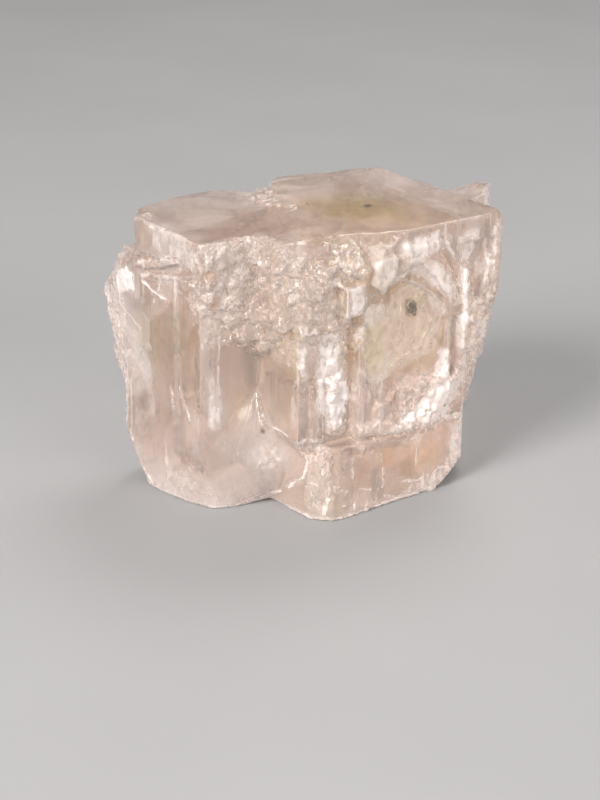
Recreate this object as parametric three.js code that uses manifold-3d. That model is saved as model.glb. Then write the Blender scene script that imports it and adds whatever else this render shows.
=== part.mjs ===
// A fluorite specimen: colourless cube crystals grown together side by side, all turned the same way, so that
// every flat face lies square to one of three directions. Millimetres, +Z up. In the crystals' own frame,
// x and y run along their horizontal edges. The display side is the -x and -y faces, and the whole group is
// turned TURN_DEG about Z, so that the upright edges between those faces look along -Y.
import * as THREE from "three";
import { mergeVertices } from "three/addons/utils/BufferGeometryUtils.js";
import Module from "manifold-3d";

const wasm = await Module();
wasm.setup();

// ---- Driving dimensions ----------------------------------------------------------------------------------
const TURN_DEG = 37; // from the crystals' frame to the part's frame
const TOP = 56.6; // height of the left and middle crystals' top face
const LAYER = 1.0; // the growth layer that lifts the right crystal's top above the left one

const LEFT = { x0: -28.7, y0: -3, x1: -0.8, y1: 25.4 }; // the left crystal, floor to top
const MIDDLE = { x0: -15.5, y0: -16.5, z0: 15.2 }; // the block grown between the two, hanging over the foot
const RIGHT = { x0: -2.7, y0: -19.2, x1: 33.1, y1: 24.6, z0: 14 }; // the right crystal
const FOOT = { x0: -11.6, y0: -18.9, x1: 31, z1: 15.6 }; // the lower block under the right crystal
const SHARD = { z0: 40, z1: 58.6 }; // the splinter behind the right crystal's corner

const CRUST_CELL = 0.95; // net spacing on the pitted crust that covers the front of the upper crystals
const CRUST_DEPTH = 1.7; // how far its lumps stand up
const CRUST_GRAIN = 1.9; // how wide they are, about
const BREAK_CELL = 3.2; // net spacing on a fracture
const SKIN = 1.5; // how deep an added piece is rooted in what carries it

// ---- Solids from three.js geometry -----------------------------------------------------------------------
function solid(geometry) {
  const bare = geometry.clone();
  bare.deleteAttribute("normal");
  bare.deleteAttribute("uv");
  const merged = mergeVertices(bare, 1e-4);
  const vertProperties = merged.getAttribute("position").array;
  const triVerts = new Uint32Array(merged.index.array);
  return new wasm.Manifold(new wasm.Mesh({ numProp: 3, vertProperties, triVerts }));
}

const joined = (first, ...rest) => rest.reduce((sum, next) => sum.add(next), first);
const cut = (from, ...tools) => tools.reduce((left, tool) => left.subtract(tool), from);
const shared = (first, second) => first.intersect(second);

// A box between two corners, square to the crystals' frame.
function block([x0, y0, z0], [x1, y1, z1]) {
  const geometry = new THREE.BoxGeometry(x1 - x0, y1 - y0, z1 - z0);
  return solid(geometry.translate((x0 + x1) / 2, (y0 + y1) / 2, (z0 + z1) / 2));
}

function extruded(outline, depth) {
  const shape = new THREE.Shape(outline.map(([u, v]) => new THREE.Vector2(u, v)));
  return new THREE.ExtrudeGeometry(shape, { depth, bevelEnabled: false });
}

// A plate with its outline given in x and z, between two values of y.
function plateOnY(outline, y0, y1) {
  return solid(extruded(outline, y1 - y0).rotateX(Math.PI / 2).translate(0, y1, 0));
}

// A plate with its outline given in y and z, between two values of x.
function plateOnX(outline, x0, x1) {
  return solid(extruded(outline, x1 - x0).rotateX(Math.PI / 2).rotateZ(Math.PI / 2).translate(x0, 0, 0));
}

// A plate with its outline given in x and y, between two heights.
function plateOnZ(outline, z0, z1) {
  return solid(extruded(outline, z1 - z0).translate(0, 0, z0));
}

// An egg, for rounded lumps and for the shell-shaped scars that fluorite breaks with.
function egg(centre, radii, { turn = [0, 0, 0], detail = 5 } = {}) {
  const tilt = new THREE.Euler(...turn.map(THREE.MathUtils.degToRad));
  const geometry = new THREE.IcosahedronGeometry(1, detail).scale(...radii);
  return solid(geometry.applyMatrix4(new THREE.Matrix4().makeRotationFromEuler(tilt)).translate(...centre));
}

// ---- Repeatable chance -----------------------------------------------------------------------------------
function chance(seed) {
  let state = seed >>> 0;
  return () => {
    state = (state + 0x6d2b79f5) >>> 0;
    let t = Math.imul(state ^ (state >>> 15), 1 | state);
    t = (t + Math.imul(t ^ (t >>> 7), 61 | t)) ^ t;
    return ((t ^ (t >>> 14)) >>> 0) / 4294967296;
  };
}
const between = (random, low, high) => low + (high - low) * random();

// Rolling relief, about one unit from crest to crest and between -1 and 1 high.
function rolling(seed) {
  const random = chance(seed);
  const waves = Array.from({ length: 9 }, () => {
    const heading = between(random, 0, 2 * Math.PI);
    const pitch = between(random, 0.6, 2.8);
    return { u: Math.cos(heading) * pitch, v: Math.sin(heading) * pitch, phase: between(random, 0, 2 * Math.PI) };
  });
  return (u, v) => waves.reduce((sum, wave) => sum + Math.sin(wave.u * u + wave.v * v + wave.phase), 0) / 4;
}

// ---- Broken and crusted surfaces -------------------------------------------------------------------------
// Relief of rounded lumps over a field: each is a low dome, and the highest one wins at any place.
function lumps(seed, [u0, u1], [v0, v1], grain) {
  const random = chance(seed);
  const count = Math.ceil(((u1 - u0) * (v1 - v0)) / (1.5 * grain * grain));
  const domes = Array.from({ length: count }, () => ({
    u: between(random, u0, u1),
    v: between(random, v0, v1),
    radius: between(random, 0.55, 1.35) * grain,
    top: between(random, 0.25, 1),
  }));
  const height = (dome, u, v) =>
    dome.top * Math.sqrt(Math.max(0, 1 - ((u - dome.u) ** 2 + (v - dome.v) ** 2) / dome.radius ** 2));
  return (u, v) => Math.max(...domes.map((dome) => height(dome, u, v)));
}

// Everything beyond an uneven break through a point. The break faces along outward and rolls by relief, in
// ledges where ledge is given.
function beyond(point, outward, { relief = 0.6, seed = 1, ledge = 0, size = 76, cell = BREAK_CELL, shape } = {}) {
  const profile = shape ?? rolling(seed);
  const reach = shape ? 1 : 9;
  const thick = 34;
  const cells = Math.round(size / cell);
  const geometry = new THREE.BoxGeometry(size, size, thick, cells, cells, 1).translate(0, 0, thick / 2);
  const position = geometry.getAttribute("position");
  for (let i = 0; i < position.count; i++) {
    if (position.getZ(i) > thick / 2) continue;
    const height = profile(position.getX(i) / reach, position.getY(i) / reach);
    const stepped = ledge > 0 ? Math.round(height / ledge) * ledge : height;
    position.setZ(i, relief * (0.4 * height + 0.6 * stepped));
  }
  const heading = new THREE.Vector3(...outward).normalize();
  geometry.applyQuaternion(new THREE.Quaternion().setFromUnitVectors(new THREE.Vector3(0, 0, 1), heading));
  return solid(geometry.translate(...point));
}

// A break like the one above that leaves a crust of lumps standing.
function beyondCrust(point, outward, { seed, size = 40, rise = CRUST_DEPTH, grain = CRUST_GRAIN }) {
  const half = size / 2;
  const shape = lumps(seed, [-half, half], [-half, half], grain);
  return beyond(point, outward, { size, cell: CRUST_CELL, relief: rise, shape });
}

// A crust of rounded lumps and pits on an upright face: a slab whose outer side is a net raised lump by lump.
// It is made as a wall facing -y, u0 to u1 along x and z0 to z1 up, and place puts it on its face.
function crust([u0, u1], [z0, z1], seed, place, { rise = CRUST_DEPTH, grain = CRUST_GRAIN } = {}) {
  const relief = lumps(seed, [u0, u1], [z0, z1], grain);
  const [width, height] = [u1 - u0, z1 - z0];
  const cells = [width, height].map((length) => Math.round(length / CRUST_CELL));
  const geometry = new THREE.BoxGeometry(width, SKIN, height, cells[0], 1, cells[1]);
  geometry.translate((u0 + u1) / 2, SKIN / 2, (z0 + z1) / 2);
  const position = geometry.getAttribute("position");
  for (let i = 0; i < position.count; i++) {
    if (position.getY(i) > SKIN / 2) continue;
    position.setY(i, -0.15 - rise * relief(position.getX(i), position.getZ(i)));
  }
  return solid(place(geometry));
}
const onYFace = (y) => (geometry) => geometry.translate(0, y, 0);
const onXFace = (x) => (geometry) => geometry.rotateZ(-Math.PI / 2).translate(x, 0, 0); // u runs along -y

// ---- The left crystal ------------------------------------------------------------------------------------
function brokenLump() {
  const outline = [
    [20, 49.4], [25.6, 49], [27.5, 45.4], [30.8, 42], [34.4, 38.6], [33.9, 32], [30.6, 27.4], [31.4, 24.8],
    [26.2, 17.8], [24.8, 12], [20, 11],
  ];
  return cut(
    plateOnX(outline, -29.3, -15),
    beyond([-28.9, 24.4, 47.6], [-0.72, 0.28, 0.62], { relief: 0.3, seed: 21 }),
    beyond([-28.8, 24.6, 36], [-0.985, 0.14, -0.05], { relief: 0.5, seed: 22, ledge: 0.5 }),
    beyond([-29.2, 24, 20], [-0.86, 0.3, -0.4], { relief: 0.4, seed: 23 }),
    beyond([-18, 29, 34], [0.75, 0.65, 0.1], { relief: 0.6, seed: 24, ledge: 0.5 }),
  );
}

function leftCube() {
  const backStep = [[-24.8, 20], [-24.8, 25.4], [-17, 27.2], [-10.6, 28.1], [-5.6, 28], [-2.4, 26.2], [-0.8, 20]];
  const scar = [[19.6, 49.4], [13, 50.4], [6, 51.9], [-3.4, 49.4], [-3.4, 47.2], [4, 47.4], [9.7, 46.4], [18.8, 45.2]];
  const backCorner = [[-32, 20.6], [-28.7, 20.6], [-24.8, 25.4], [-24.8, 30], [-32, 30]];
  const step = cut(
    plateOnZ(backStep, 30, TOP),
    beyond([-14, 26.6, 34], [0.1, 0.7, -0.7], { relief: 0.7, seed: 27, ledge: 0.5 }),
  );
  return cut(
    joined(block([LEFT.x0, LEFT.y0, 0], [LEFT.x1, LEFT.y1, TOP]), step),
    plateOnZ(backCorner, 49.5, 60),
    beyond([-28.7, 19, 3], [-0.8, 0.45, -0.35], { relief: 0.6, seed: 25, ledge: 0.6 }),
    beyond([-28, 9, 0], [-0.97, -0.21, -0.16], { relief: 0.12, seed: 26 }), // its foot is rounded by three
    beyond([-26.3, 3.2, 0], [-0.93, -0.31, -0.25], { relief: 0.12, seed: 28 }), // shallow breaks
    beyond([-22.8, -1.9, 0], [-0.49, -0.87, -0.3], { relief: 0.12, seed: 29 }),
    plateOnX(scar, -31, LEFT.x0 + 0.9), // the scar under the top band
    egg([-14, 30, 13], [13, 6.4, 12]), // a scar on the back
    block([-30, -4, 13], [-28.1, -2.4, 46]), // the stepped front edge
    block([-29, -4, 15], [-27.2, -2.75, 44]),
    block([-30, -2, 15], [-28.4, -1.4, 46]),
  );
}

// The crust hangs on the upper half of the front face and ends below in a slanting rolled lip.
function leftCrust() {
  const outline = [
    [-28.8, 45.8], [-27.9, 45], [-24.4, 41], [-21.3, 37.8], [-18.9, 34.4], [-16.8, 32.8], [-14.8, 33],
    [-14.8, TOP], [-28.8, TOP],
  ];
  return shared(crust([-29, -14], [32, TOP], 61, onYFace(LEFT.y0 - 0.5)), plateOnY(outline, -10, 0));
}

// The front face swells smoothly to the right and fills the corner between it and the foot.
function lobe() {
  const [x0, x1, z1, most] = [-24.5, -10.8, 22.5, 11.7];
  const belly = (z) => (z < 13 ? Math.sin((Math.PI / 2) * (z / 13)) : Math.cos((Math.PI / 2) * ((z - 13) / (z1 - 13))));
  const geometry = new THREE.BoxGeometry(x1 - x0, SKIN, z1, 14, 1, 18).translate((x0 + x1) / 2, SKIN / 2, z1 / 2);
  const position = geometry.getAttribute("position");
  for (let i = 0; i < position.count; i++) {
    if (position.getY(i) > SKIN / 2) continue;
    const swell = ((position.getX(i) - x0) / (x1 - x0)) ** 1.4;
    position.setY(i, -most * swell * belly(position.getZ(i)));
  }
  const web = solid(geometry.translate(0, LEFT.y0, 0));
  return cut(
    shared(web, block([x0, -16, 0], [FOOT.x0, LEFT.y0 + SKIN, z1])),
    shared(block([-30, -8, -1], [-20, 0, 8]), beyond([-22.8, -1.9, 0], [-0.49, -0.87, -0.3], { relief: 0.12, seed: 29 })),
  );
}

function leftCrystal() {
  const scarLedges = [
    [[19, 47.4], [13, 49], [7, 51], [6, 50.6], [12, 48.2], [18, 46.6]],
    [[17, 49.6], [12, 50.6], [8, 51.6], [10, 50.3]],
    [[16, 46.2], [9, 47.6], [2, 49.4], [1, 48.9], [8, 46.9], [14, 45.7]],
    [[4, 47.2], [-3, 49], [-3, 48.4], [3, 46.8]],
    [[18, 43.2], [14, 43.5], [9.6, 42.2], [9.8, 42.9], [14, 44.3], [18.4, 44.3]],
    [[-2.4, 53.4], [15, 56.6], [-2.4, 56.6]],
  ].map((outline, i) => plateOnX(outline, LEFT.x0 - 0.35 + 0.1 * (i % 3), LEFT.x0 + 2.4));
  return joined(
    cut(
      joined(leftCube(), leftCrust()),
      beyondCrust([-24, -2.3, TOP], [-0.06, -0.68, 0.73], { seed: 62, rise: 0.9 }), // its top edge is bevelled
    ),
    brokenLump(),
    lobe(),
    ...scarLedges,
  );
}

// ---- The middle block ------------------------------------------------------------------------------------
function middleBlock() {
  const crustOnX = [[0, 31], [-3, 31.6], [-6.6, 34.8], [-10.5, 38], [-13.7, 41.2], [-17, 41.6], [-17, TOP], [0, TOP]];
  const cube = joined(
    block([MIDDLE.x0, MIDDLE.y0, MIDDLE.z0], [1, 0, TOP]),
    shared(crust([2, 16.4], [31, TOP], 63, onXFace(MIDDLE.x0 - 0.4), { rise: 2 }), plateOnX(crustOnX, -20, 0)),
    crust([-16, -2], [39.5, TOP], 64, onYFace(MIDDLE.y0 - 0.3)),
    crust([-8.4, -3.6], [17.4, 38.6], 65, onYFace(MIDDLE.y0), { rise: 0.8, grain: 1.4 }), // the frosted panel
    block([-12.2, MIDDLE.y0 - 0.6, 17], [-9.8, -12, 29.6]),
    block([-11.6, MIDDLE.y0 - 0.9, 17], [-10.4, -12, 25.8]),
    block([-14.3, MIDDLE.y0 - 0.4, 30.5], [-11, -12, 37.4]),
  );
  return cut(
    cube,
    block([-4, MIDDLE.y0 - 1, 27], [-2.7, MIDDLE.y0 + 1.6, 42.8]), // the slot beside the right crystal
    beyond([MIDDLE.x0, -3, 19.4], [-0.5, 0.2, -0.85], { relief: 0.12, seed: 31 }), // rounded underside
    beyond([MIDDLE.x0, MIDDLE.y0, 18], [-0.5, -0.45, -0.75], { relief: 0.12, seed: 32 }),
    beyondCrust([-8.4, -12, TOP], [-0.26, -0.76, 0.6], { seed: 33 }), // its top front edge is set back
    beyondCrust([-17.2, -7, TOP], [-0.85, -0.2, 0.5], { seed: 34, rise: 0.9 }),
  );
}

function smallCube() {
  return block([-6.9, -20.5, 42.8], [-2.5, -14, 49]);
}

// ---- The right crystal -----------------------------------------------------------------------------------
// Growth on its front face: raised plates, ridges and sunk panels, each an outline in x and z.
function rightFaceGrowth() {
  const front = (rise, outline) => plateOnY(outline, RIGHT.y0 - rise, RIGHT.y0 + SKIN);
  return [
    front(0.45, [[8, 53.4], [30.9, 52.7], [30.9, 46], [33.1, 46], [33.1, 57.6], [8, 57.6]]), // the frame
    front(1.1, [
      [-2, 47.3], [-0.6, 46], [1, 46.2], [2.6, 47.6], [5.2, 49.6], [7, 50.4], [6.6, 52.2], [4.2, 53.2], [1, 53],
      [-1.2, 52], [-2, 50.4],
    ]), // the rounded plate
    front(0.8, [[-2.7, 44.4], [-1.6, 44.4], [-1.5, 53.4], [-2.7, 53.4]]),
    front(0.75, [[6.8, 49.4], [9.5, 49.8], [13.2, 51.8], [17, 52], [17, 54], [7.6, 54]]),
    front(0.95, [
      [11.4, 50.6], [15.4, 47], [18.6, 42.4], [21, 38.2], [23.2, 38.6], [22.6, 42], [20, 47], [17.2, 51],
      [14, 52.4],
    ]), // the slanting ridge
    front(1.15, [[22.9, 25], [24.3, 25], [24.5, 38], [23.9, 47], [22.6, 47.6], [23, 38]]),
    front(0.6, [[25.2, 27], [27, 30], [28.6, 38.4], [29.8, 44], [28.8, 44.4], [26.4, 39]]),
    front(0.5, [[29.4, 33], [31, 33], [32.4, 45], [30.7, 45.6]]),
    front(0.9, [
      [-2.7, 17.4], [8, 15.4], [25.4, 14.4], [25.8, 16], [18, 16.9], [13, 18.8], [8, 17.2], [2, 19], [-2.7, 19],
    ]), // the lip over the foot
    front(0.5, [[1.2, 18], [5.8, 17.6], [5.4, 22.8], [3.4, 24], [1.4, 22.4]]),
    front(0.7, [[15.6, 19], [20.4, 17.4], [22.4, 22.8], [20.8, 24.2]]),
  ];
}

function rightFaceHollows() {
  const hollow = (depth, outline) => plateOnY(outline, RIGHT.y0 - 3, RIGHT.y0 + depth);
  const floor = egg([9.4, RIGHT.y0 + 4.3, 35.4], [19, 4, 18], { detail: 6 }); // the window's floor swells
  const pane = [
    [-1.5, 42.9], [2.8, 47.2], [7.8, 47.4], [12, 45.6], [15.7, 42.7], [20.2, 36.6], [20.2, 26], [16, 24.6],
    [10.6, 26.4], [7.6, 25.3], [5, 22.6], [2.5, 23.2], [-0.9, 27.2],
  ];
  return [
    cut(hollow(1.2, pane), floor),
    hollow(1.5, [[19.6, 52.3], [31, 52.5], [30.6, 49.4], [28.4, 43.4], [27, 38.8], [25, 47.6], [22.9, 48.3]]),
    hollow(1.9, [[20.9, 24.4], [22.6, 24.4], [22.6, 37], [20.9, 37.4]]), // the upright groove
    hollow(0.8, [[6.4, 17.6], [7.6, 17.6], [7.8, 24.8], [6.8, 24.8]]),
  ];
}

function rightCrystal() {
  const topLayer = [
    [-7, -15], [1, -19.2], [33.1, -19.2], [33.1, 20.6], [28, 22.4], [21.6, 22.9], [15, 25.1], [9.5, 26], [6, 24],
    [4.6, 19], [1, 14], [-1, 8], [-5, 3], [-7, -2], [-9, -9],
  ];
  const cube = joined(
    block([RIGHT.x0, RIGHT.y0, RIGHT.z0], [RIGHT.x1, RIGHT.y1, TOP]),
    plateOnZ(topLayer, TOP - SKIN, TOP + LAYER),
    ...rightFaceGrowth(),
    crust([-2.6, 9], [49, 57], 66, onYFace(RIGHT.y0 + 0.2), { rise: 1.2 }),
    crust([8, 21], [16, 25.6], 67, onYFace(RIGHT.y0), { rise: 0.8, grain: 1.5 }),
    crust([23, 32], [24, 38], 68, onYFace(RIGHT.y0 + 0.2), { rise: 1, grain: 1.4 }),
  );
  const belowLedge = block([20, -26, 13], [40, 6, 22.4]);
  return cut(
    cube,
    ...rightFaceHollows(),
    beyond([33.1, -16.6, 33], [0.45, -0.89, -0.27], { relief: 0.55, seed: 41, ledge: 0.5 }),
    shared(belowLedge, beyond([28.8, -18.9, 18], [0.7, -0.7, -0.12], { relief: 0.3, seed: 42 })),
    beyond([33.1, 14, 30], [0.93, 0.3, -0.2], { relief: 0.9, seed: 43, ledge: 0.6 }),
    egg([30, 27.5, 44], [12, 4, 14], { turn: [0, 20, 0] }),
    egg([2.6, 28.4, 50], [4.6, 8.6, 14], { turn: [0, 8, 0] }), // the notch behind, between the two crystals
    egg([-1.2, 12.4, TOP + LAYER + 0.3], [4.6, 9.4, 1.4], { turn: [0, 0, 20] }), // the top layer's broken edge
    beyondCrust([-3, -15.2, TOP], [-0.3, -0.76, 0.6], { seed: 35, size: 22, rise: 0.9 }),
    beyond([32.6, -18.8, TOP + LAYER - 0.7], [0.45, -0.55, 0.7], { relief: 0.2, seed: 44 }), // the chipped corner
  );
}

// Small cubes in the notch between the two top faces.
function notchCubes() {
  return joined(
    block([1.2, 18, 46], [3.2, 21.4, TOP + 0.9]),
    block([-1, 17, 48], [1.6, 20.2, TOP + 0.4]),
    block([2.8, 17, 48], [4.8, 19.6, TOP + 0.6]),
  );
}

// Growth layers on the two faces turned away from the display side.
function backGrowth() {
  return joined(
    plateOnY([[9, 20], [29, 20], [29, 33], [24, 33], [24, 51], [9, 51]], 22, RIGHT.y1 + 0.8),
    plateOnY([[-19, 36], [-8, 36], [-8, 52], [-19, 52]], 22, LEFT.y1 + 2.9),
    plateOnX([[-12, 39], [12, 39], [12, 44], [18, 44], [18, 54], [-12, 54]], 30, RIGHT.x1 + 0.7),
    plateOnX([[-7, 43], [6, 43], [6, 51], [-7, 51]], 30, RIGHT.x1 + 1.5),
  );
}

// The splinter that still stands behind the right crystal's back corner.
function shard() {
  const outline = [[30, 4], [38, 3.2], [44.6, 0.6], [44.2, -2.8], [39, -7], [30, -9]];
  return cut(
    plateOnZ(outline, SHARD.z0, SHARD.z1),
    beyond([40, 1, 56.6], [-0.12, 0.1, 0.98], { relief: 0.4, seed: 71, ledge: 0.5 }),
    beyond([41, -3, 49], [0.7, -0.5, -0.5], { relief: 0.5, seed: 72, ledge: 0.5 }),
    beyond([41, 5, 48], [0.5, 0.7, -0.5], { relief: 0.5, seed: 73 }),
  );
}

// ---- The foot --------------------------------------------------------------------------------------------
function footBlock() {
  const outline = [
    [FOOT.x0, 2], [FOOT.x0 - 0.6, -10], [FOOT.x0, -15.6], [-9.2, -18.1], [-6.6, FOOT.y0 - 0.6],
    [2, FOOT.y0], [24.6, FOOT.y0], [FOOT.x1, -12.5], [FOOT.x1, 20], [26, 23.6], [-4, 23.6],
  ];
  const random = chance(56);
  const ribs = Array.from({ length: 9 }, (_, i) => {
    const x = -8.2 + 1.15 * i;
    const width = between(random, 0.45, 0.8);
    const top = i % 3 ? 12.6 : 8.4;
    return block([x, FOOT.y0 - between(random, 0.25, 0.8), 0.8], [x + width, FOOT.y0 + SKIN, top]);
  });
  const root = block([-12.5, -11.5, 12], [-3, -1, 18.2]); // grown into the middle block's underside
  return cut(
    joined(plateOnZ(outline, 0, FOOT.z1), root, ...ribs),
    beyond([24.9, -19.4, 7], [0.415, -0.728, -0.547], { relief: 0.5, seed: 51, ledge: 0.5 }),
    beyond([31, 6, 3], [0.8, 0.1, -0.6], { relief: 0.8, seed: 52, ledge: 0.5 }),
    beyond([14, 23.6, 4], [0.1, 0.85, -0.5], { relief: 0.8, seed: 53, ledge: 0.5 }),
    beyond([FOOT.x0, -17.4, 0.4], [-0.5, -0.6, -0.75], { relief: 0.2, seed: 54 }),
  );
}

// ---- All of it grown together ----------------------------------------------------------------------------
// A slanting crack runs in over the foot's front edge.
function crack() {
  return plateOnY([[-9, 16.4], [8, 14.9], [26, 13.7], [26, 14.3], [8, 15.6], [-9, 17.3]], FOOT.y0 - 4, FOOT.y0 + 2.2);
}

const body = cut(
  joined(leftCrystal(), middleBlock(), smallCube(), notchCubes(), rightCrystal(), shard(), footBlock(), backGrowth()),
  crack(),
);

// ---- The part --------------------------------------------------------------------------------------------
function geometryOf(made) {
  const mesh = made.getMesh();
  const geometry = new THREE.BufferGeometry();
  geometry.setAttribute("position", new THREE.BufferAttribute(new Float32Array(mesh.vertProperties), 3));
  geometry.setIndex(new THREE.BufferAttribute(new Uint32Array(mesh.triVerts), 1));
  return geometry;
}

const clearFluorite = new THREE.MeshStandardMaterial({ color: 0xe6d9d3, roughness: 0.15, metalness: 0 });
const crystalGroup = new THREE.Mesh(geometryOf(body), clearFluorite);
crystalGroup.name = "fluorite_crystals";
crystalGroup.rotation.z = THREE.MathUtils.degToRad(TURN_DEG);

// The part stands with the middle of its bounding box's underside at the origin.
const part = new THREE.Group();
part.add(crystalGroup);
const bounds = new THREE.Box3().setFromObject(part, true);
const middle = bounds.getCenter(new THREE.Vector3());
crystalGroup.position.set(-middle.x, -middle.y, -bounds.min.z);
export default part;
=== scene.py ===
import math

import bmesh
import bpy
import numpy as np
from mathutils import Matrix, Vector
from mathutils.bvhtree import BVHTree


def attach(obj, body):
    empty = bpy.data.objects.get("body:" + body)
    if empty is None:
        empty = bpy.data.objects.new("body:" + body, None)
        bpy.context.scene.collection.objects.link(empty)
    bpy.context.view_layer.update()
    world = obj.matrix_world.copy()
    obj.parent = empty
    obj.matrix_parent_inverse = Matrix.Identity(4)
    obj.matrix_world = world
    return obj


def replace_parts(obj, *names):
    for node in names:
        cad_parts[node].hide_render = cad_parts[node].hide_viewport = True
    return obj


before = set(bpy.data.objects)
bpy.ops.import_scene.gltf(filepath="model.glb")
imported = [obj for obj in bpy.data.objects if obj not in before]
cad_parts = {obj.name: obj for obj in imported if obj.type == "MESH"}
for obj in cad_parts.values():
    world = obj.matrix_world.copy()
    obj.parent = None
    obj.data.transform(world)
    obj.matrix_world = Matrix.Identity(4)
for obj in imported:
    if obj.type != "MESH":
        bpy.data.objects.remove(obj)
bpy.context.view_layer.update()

MM = 0.001
TURN = math.radians(37)  # from the crystals' frame to the part's
SHIFT = Vector((2.21896, -7.638955, 0)) * MM  # where the crystals' frame has its origin in the part's
PLACE = Matrix.Translation(SHIFT) @ Matrix.Rotation(TURN, 4, "Z")
VOXEL = 0.38  # mm, the mesh size of the display piece before it is thinned
MOST_TRIANGLES = 190000
EASING_ROUNDS = 60  # how often the smooth places are averaged
BASE_RIM = 1  # mm, points lower than this keep their height when the rest is averaged
FLOOR_GAP = 0.1 * MM  # keeps the floor from lying in the same plane as the underside

# Fluorite as light passes it.
FLUORITE_IOR = 1.434
FLUORITE_SOAK = (0.87, 0.79, 0.735, 1)  # what a thickness of 1 / density lets through
FLUORITE_SOAK_DENSITY = 20.0  # per metre
ZONE_SOAK = (0.9, 0.83, 0.5, 1)
ZONE_SOAK_DENSITY = 15.0

# What lies inside the crystals: middle and radii, in mm.
YELLOW_ZONE = ((19, 5, 34), (12, 12, 13))
INCLUSION = ((27.2, 16, 31.2), (0.9, 0.9, 1.5))

CAMERA_AT = (0.000219, -0.369639, 0.164)
CAMERA_TILT = math.radians(68)  # up from straight down
CAMERA_ROLL = math.radians(1)
CAMERA_LENS, CAMERA_SENSOR = 85.5, 36

# Soft round lights: name, place, size, power, colour.
LIGHTS = [
    ("key", (-0.5, -0.65, 0.6), 0.4, 14, (1, 0.965, 0.935)),
    ("fill", (0.6, -0.6, 0.35), 0.5, 4.8, (1, 0.965, 0.935)),
    ("top", (0.2, 0.5, 0.8), 0.5, 4, (1, 0.975, 0.95)),
]
LIT_POINT = (0, 0, 0.03)
ROOM_COLOUR = (1, 0.985, 0.975, 1)
ROOM_LOW, ROOM_HIGH = 0.24, 0.52  # its strength near the floor and overhead


# ---- Seeded noise over points, in mm -------------------------------------------------------------------
def hashed(cell, seed):
    """A number from 0 to 1 for each whole-number cell."""
    h = np.full(cell.shape[:-1], seed * 7919 + 13, np.uint64)
    for k, prime in enumerate((0x9E3779B1, 0x85EBCA77, 0xC2B2AE3D)):
        h += cell[..., k].astype(np.int64).astype(np.uint64) * np.uint64(prime)
    for shift, prime in ((15, 0x2C1B3C6D), (12, 0x297A2D39)):
        h ^= h >> np.uint64(shift)
        h *= np.uint64(prime)
    h ^= h >> np.uint64(15)
    return (h & np.uint64(0xFFFFFF)).astype(float) / 0xFFFFFF


def rolling(points, size, seed):
    """Smooth noise from 0 to 1, size mm from crest to crest (a number, or one for each axis)."""
    q = points / np.asarray(size, float)
    cell = np.floor(q)
    f = q - cell
    f = f * f * (3 - 2 * f)
    total = np.zeros(len(points))
    for corner in np.ndindex(2, 2, 2):
        weight = np.ones(len(points))
        for k in range(3):
            weight *= f[:, k] if corner[k] else 1 - f[:, k]
        total += weight * hashed(cell + corner, seed)
    return total


def fractal(points, size, seed, octaves=3):
    """Rolling noise with finer noise on it, from 0 to 1."""
    total, most = np.zeros(len(points)), 0.0
    for k in range(octaves):
        total += rolling(points, np.asarray(size, float) / 2**k, seed + k) / 2**k
        most += 1 / 2**k
    return total / most


def facets(points, size, seed, tilt=0.5):
    """A seeded mosaic of flat facets, each with its own slope and height, about -0.5 to 0.5."""
    q = points / np.asarray(size, float)
    home = np.floor(q)
    near, out = np.full(len(points), 9.0), np.zeros(len(points))
    for step in np.ndindex(3, 3, 3):
        cell = home + np.array(step) - 1
        draw = [hashed(cell, seed + k) - 0.5 for k in range(7)]
        away = q - (cell + 0.5 + np.stack(draw[:3], -1))
        gap = np.linalg.norm(away, axis=1)
        slope = np.stack(draw[3:6], -1)
        out = np.where(gap < near, draw[6] + 2 * tilt * (away * slope).sum(axis=1), out)
        near = np.minimum(near, gap)
    return out


def ramp(value, low, high):
    """0 below low, 1 above high and a smooth rise between them."""
    t = np.clip((value - low) / (high - low), 0, 1)
    return t * t * (3 - 2 * t)


def inside(points, low, high, soft=1.5):
    """1 within a box, falling to 0 over soft mm outside it."""
    low, high = np.asarray(low, float), np.asarray(high, float)
    out = np.maximum(np.maximum(low - points, points - high), 0)
    return 1 - ramp(np.linalg.norm(out, axis=1), 0, soft)


def blob(points, centre, radii):
    """1 in the middle of an ellipsoid, falling to 0 at its skin."""
    q = np.linalg.norm((points - np.asarray(centre, float)) / np.asarray(radii, float), axis=1)
    return 1 - ramp(q, 0.35, 1)


# ---- The display piece's mesh --------------------------------------------------------------------------
# Beds of small cube crystals, square to the big ones: low corner, high corner, count, smallest, largest.
CUBE_BEDS = [
    ((-28.5, -6, 46), (-16, -3, 56), 150, 0.6, 1.7),
    ((-23, -6, 35), (-16, -3, 48), 80, 0.6, 1.7),
    ((-18.5, -15.5, 41), (-15, -4, 56), 110, 0.6, 1.8),
    ((-18, -8, 33), (-15, -3.5, 42), 30, 0.7, 1.6),
    ((-15.5, -19, 40.5), (-7.6, -16, 56), 110, 0.6, 1.7),
    ((-7.6, -19, 50), (-2.5, -16, 56), 36, 0.6, 1.6),
    ((-8.2, -18, 18), (-3.8, -16, 38), 30, 0.5, 1.2),
    ((9, -21, 16.6), (24, -18, 25), 60, 0.5, 1.3),
    ((23, -21, 25), (31, -17, 40), 40, 0.5, 1.4),
    ((-2.2, 8, 56), (2.4, 20, 58), 16, 0.7, 1.6),
]


def strewn_cubes(bm):
    """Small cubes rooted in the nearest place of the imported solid's skin."""
    rng = np.random.default_rng(611)
    skin = BVHTree.FromBMesh(bm)
    for low, high, count, small, large in CUBE_BEDS:
        for _ in range(count):
            aim, size = rng.uniform(low, high), rng.uniform(small, large, 3)
            at = skin.find_nearest(Vector(aim))[0]
            bmesh.ops.create_cube(bm, size=1, matrix=Matrix.Translation(at) @ Matrix.Diagonal((*size, 1)))


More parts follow.
